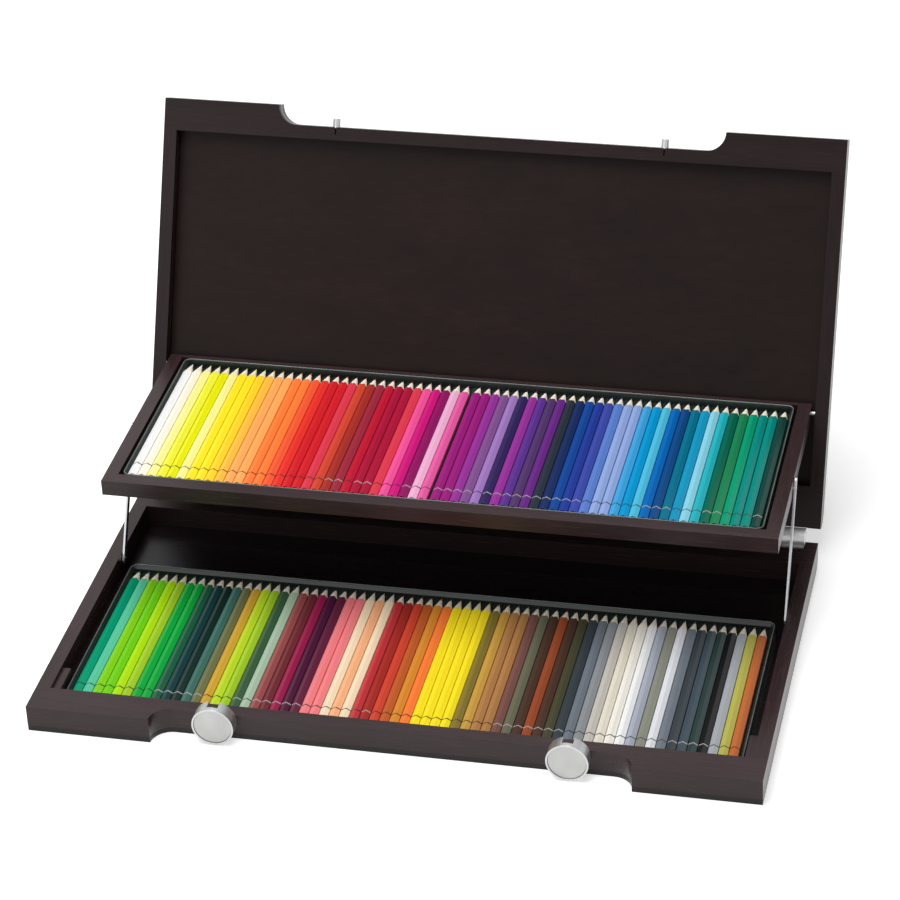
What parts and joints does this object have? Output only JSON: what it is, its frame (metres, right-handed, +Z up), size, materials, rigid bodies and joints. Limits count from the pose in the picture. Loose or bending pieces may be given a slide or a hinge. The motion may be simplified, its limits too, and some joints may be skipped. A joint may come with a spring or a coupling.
{
  "type": "pencil drawer box",
  "caption": "Wide dark wooden pencil case with a hinged lid that lifts a tray of coloured pencils over a second row, closed by two round knobs.",
  "frame": {"origin": "centre of the underside of the case", "axes": "+Z up, -Y towards the user in front of the knobs, +X to the user's right along the hinge"},
  "size_m": [0.56, 0.4747, 0.3048],
  "materials": {
    "stained_wood": "satin",
    "lining": "satin",
    "insert_plastic": "matte",
    "aluminium": "brushed",
    "bright_steel": "polished",
    "yellow_pencils": "gloss",
    "orange_pencils": "gloss",
    "red_pencils": "gloss",
    "pink_pencils": "gloss",
    "purple_pencils": "gloss",
    "blue_pencils": "gloss",
    "cyan_pencils": "gloss",
    "teal_pencils": "gloss",
    "green_pencils": "gloss",
    "olive_pencils": "gloss",
    "rose_pencils": "gloss",
    "amber_pencils": "gloss",
    "brown_pencils": "gloss",
    "grey_pencils": "gloss"
  },
  "bodies": {
    "base": {"base_bottom": "stained_wood", "base_front_rail": "stained_wood", "base_back_rail": "stained_wood", "base_left_rail": "stained_wood", "base_right_rail": "stained_wood", "rest_block_left": "stained_wood", "rest_block_right": "stained_wood", "lower_insert": "insert_plastic", "hinge_base_leaf_left": "aluminium", "hinge_base_leaf_right": "aluminium", "hinge_pin_left": "bright_steel", "hinge_pin_right": "bright_steel", "arm_pin_left": "bright_steel", "arm_pin_right": "bright_steel", "knob_axle_left": "bright_steel", "knob_axle_right": "bright_steel", "pencils_lower_1": "green_pencils", "pencils_lower_2": "olive_pencils", "pencils_lower_3": "rose_pencils", "pencils_lower_4": "amber_pencils", "pencils_lower_5": "brown_pencils", "pencils_lower_6": "grey_pencils"},
    "lid": {"lid_top_board": "stained_wood", "lid_front_rail": "stained_wood", "lid_back_rail": "stained_wood", "lid_left_rail": "stained_wood", "lid_right_rail": "stained_wood", "lid_lining": "lining", "hinge_lid_leaf_left": "aluminium", "hinge_lid_leaf_right": "aluminium", "tray_pivot_pin_left": "bright_steel", "tray_pivot_pin_right": "bright_steel", "catch_pin_left": "bright_steel", "catch_pin_right": "bright_steel"},
    "tray": {"tray_bottom": "stained_wood", "tray_front_rail": "stained_wood", "tray_back_rail": "stained_wood", "tray_left_rail": "stained_wood", "tray_right_rail": "stained_wood", "upper_insert": "insert_plastic", "tray_arm_pin_left": "bright_steel", "tray_arm_pin_right": "bright_steel", "pencils_upper_1": "yellow_pencils", "pencils_upper_2": "orange_pencils", "pencils_upper_3": "red_pencils", "pencils_upper_4": "pink_pencils", "pencils_upper_5": "purple_pencils", "pencils_upper_6": "blue_pencils", "pencils_upper_7": "cyan_pencils", "pencils_upper_8": "teal_pencils"},
    "arm_left": {"arm_left": "bright_steel"},
    "arm_right": {"arm_right": "bright_steel"},
    "knob_left": {"knob_left": "aluminium", "knob_cap_left": "aluminium"},
    "knob_right": {"knob_right": "aluminium", "knob_cap_right": "aluminium"}
  },
  "joints": [
    {"name": "lid_hinge", "type": "hinge", "parent": "base", "child": "lid", "pos_m": [0, 0.163, 0.02], "axis": [1, 0, 0], "range_deg": [0, 116]},
    {"name": "tray_pivot", "type": "hinge", "parent": "lid", "child": "tray", "pos_m": [0, 0.21187, 0.1072], "axis": [1, 0, 0], "range_deg": [-116, 0]},
    {"name": "arm_left_pivot", "type": "hinge", "parent": "base", "child": "arm_left", "pos_m": [-0.26705, 0.057, 0.017], "axis": [1, 0, 0], "range_deg": [0, 116]},
    {"name": "arm_right_pivot", "type": "hinge", "parent": "base", "child": "arm_right", "pos_m": [0.26705, 0.057, 0.017], "axis": [1, 0, 0], "range_deg": [0, 116]},
    {"name": "knob_left_turn", "type": "hinge", "parent": "base", "child": "knob_left", "pos_m": [-0.135, -0.1454, 0.017], "axis": [0, -1, 0], "range_deg": [0, 90]},
    {"name": "knob_right_turn", "type": "hinge", "parent": "base", "child": "knob_right", "pos_m": [0.135, -0.1454, 0.017], "axis": [0, 1, 0], "range_deg": [0, 90]}
  ],
  "couplings": [
    {"joint": "tray_pivot", "follows": "lid_hinge", "ratio": -1},
    {"joint": "arm_left_pivot", "follows": "lid_hinge", "ratio": 1},
    {"joint": "arm_right_pivot", "follows": "lid_hinge", "ratio": 1}
  ]
}
